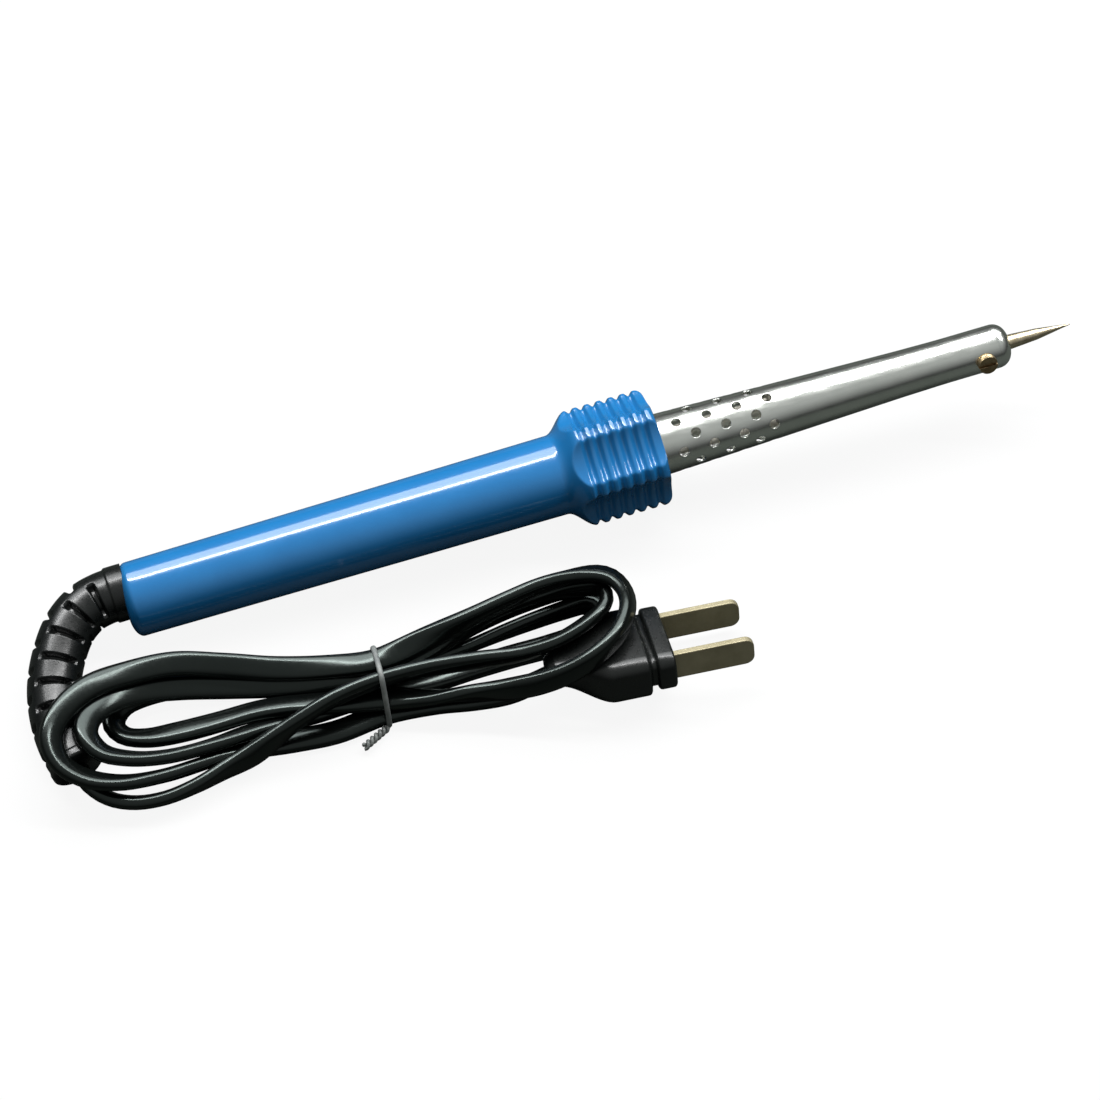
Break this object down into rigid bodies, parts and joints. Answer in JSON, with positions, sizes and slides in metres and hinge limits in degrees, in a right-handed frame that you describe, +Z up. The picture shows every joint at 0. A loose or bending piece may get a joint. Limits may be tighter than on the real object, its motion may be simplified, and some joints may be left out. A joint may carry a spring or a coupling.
{
  "type": "soldering iron",
  "caption": "Pencil soldering iron with a moulded handle, ribbed finger collar, vented barrel, clamped conical bit, hanked mains cord and two-pin plug.",
  "frame": {"origin": "on the surface that the iron lies on, under the middle of the iron without its cord, strain relief and plug", "axes": "+Z up, +X along the iron towards its bit, which points 2.7 degrees above +X; the cord lies on the -Y side"},
  "size_m": [0.2365, 0.0664, 0.0264],
  "materials": {
    "handle_plastic": "glossy moulded blue plastic, satin on the ribbed collar",
    "barrel_chrome": "polished chrome plate with faint drawing lines",
    "plated_steel": "zinc-plated steel",
    "plain_steel": "turned mild steel, heat-darkened",
    "bit_plating": "gold-beige shank with a grey tinned point",
    "brass_screw": "heat-browned brass",
    "mica_sheet": "layered mica sheet",
    "resistance_wire": "oxidised nickel-chromium wire",
    "ceramic": "half-glazed white ceramic",
    "terminal_brass": "bright brass",
    "brown_core": "brown core insulation",
    "blue_core": "blue core insulation",
    "cord_jacket": "glossy black flexible cord jacket",
    "clamp_plastic": "plain black nylon",
    "relief_rubber": "black slotted rubber",
    "tie_wire": "grey plastic-covered twist tie",
    "plug_pvc": "moulded black plug, fine satin gloss",
    "blade_metal": "dull nickel-plated brass"
  },
  "bodies": {
    "iron": {"handle": "handle_plastic", "barrel": "barrel_chrome", "barrel_flange": "plated_steel", "insulating_washer": "mica_sheet", "flange_screws": "plated_steel", "nose_bush": "plain_steel", "former_tube": "plain_steel", "inner_mica": "mica_sheet", "heater_winding": "resistance_wire", "outer_mica": "mica_sheet", "ceramic_spacer": "ceramic", "heater_leads": "resistance_wire", "lead_beads": "ceramic", "terminal_block": "ceramic", "terminal_tubes": "terminal_brass", "terminal_screws": "plated_steel", "live_core": "brown_core", "neutral_core": "blue_core", "cord_inner_end": "cord_jacket", "cord_clamp": "clamp_plastic", "clamp_screws": "plated_steel", "strain_relief": "relief_rubber", "cord_hank": "cord_jacket", "cord_tie": "tie_wire", "plug_body": "plug_pvc", "plug_bridge": "clamp_plastic", "plug_blades": "blade_metal"},
    "bit": {"soldering_bit": "bit_plating"},
    "screw": {"set_screw": "brass_screw"}
  },
  "joints": [
    {"name": "bit_slide", "type": "slide", "parent": "iron", "child": "bit", "axis": [0.9989, 0, 0.0477], "range_m": [0, 0.048]},
    {"name": "set_screw_turn", "type": "hinge", "parent": "iron", "child": "screw", "pos_m": [0.0847, 0, 0.01699], "axis": [-0.0179, -0.9272, 0.3742], "range_deg": [0, 720]}
  ]
}
